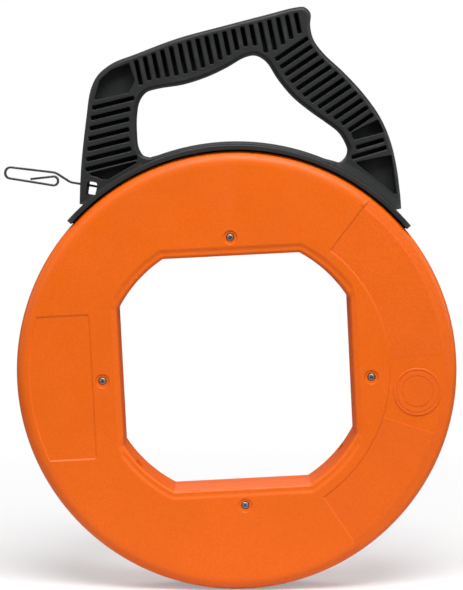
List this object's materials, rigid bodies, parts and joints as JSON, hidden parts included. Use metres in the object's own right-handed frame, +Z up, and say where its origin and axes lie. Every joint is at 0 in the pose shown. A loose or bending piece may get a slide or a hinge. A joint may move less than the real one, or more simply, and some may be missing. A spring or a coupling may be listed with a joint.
{
  "type": "fish tape reel",
  "caption": "Hand reel for a steel fish tape: a ring-shaped case turns inside a fixed D-handle, and the hooked end of the tape leaves through a window in the handle's foot.",
  "frame": {"origin": "top of the hand opening, under the grip bar, in the handle's middle plane, where a hand or a hook holds the hanging reel", "axes": "+Z up, +Y to the back along the case's axis, so the front faces -Y, and +X to the right seen from the front"},
  "size_m": [0.2988, 0.045, 0.3837],
  "materials": {
    "case_plastic": "moulded, fine grain, semi-matt",
    "handle_plastic": "moulded, satin",
    "ring_plastic": "moulded, matt",
    "tape_steel": "tempered spring steel, dark grey, oiled",
    "screw_steel": "zinc plated"
  },
  "bodies": {
    "handle": {"handle": "handle_plastic", "guide_ring": "ring_plastic", "ring_screw_1": "screw_steel", "ring_screw_2": "screw_steel", "ring_screw_3": "screw_steel", "ring_screw_4": "screw_steel"},
    "reel": {"front_shell": "case_plastic", "rear_shell": "case_plastic", "tape_coil": "tape_steel", "case_screw_top": "screw_steel", "case_screw_left": "screw_steel", "case_screw_bottom": "screw_steel", "case_screw_right": "screw_steel", "anchor_screw": "screw_steel", "anchor_washer": "screw_steel"},
    "tape": {"tape_lead": "tape_steel"}
  },
  "joints": [
    {"name": "reel_spin", "type": "hinge", "parent": "handle", "child": "reel", "pos_m": [-0.0125, 0, -0.2082], "axis": [0, -1, 0], "continuous": true},
    {"name": "tape_feed", "type": "slide", "parent": "handle", "child": "tape", "axis": [-0.9871, 0, 0.1599], "range_m": [0, 0.08]}
  ]
}
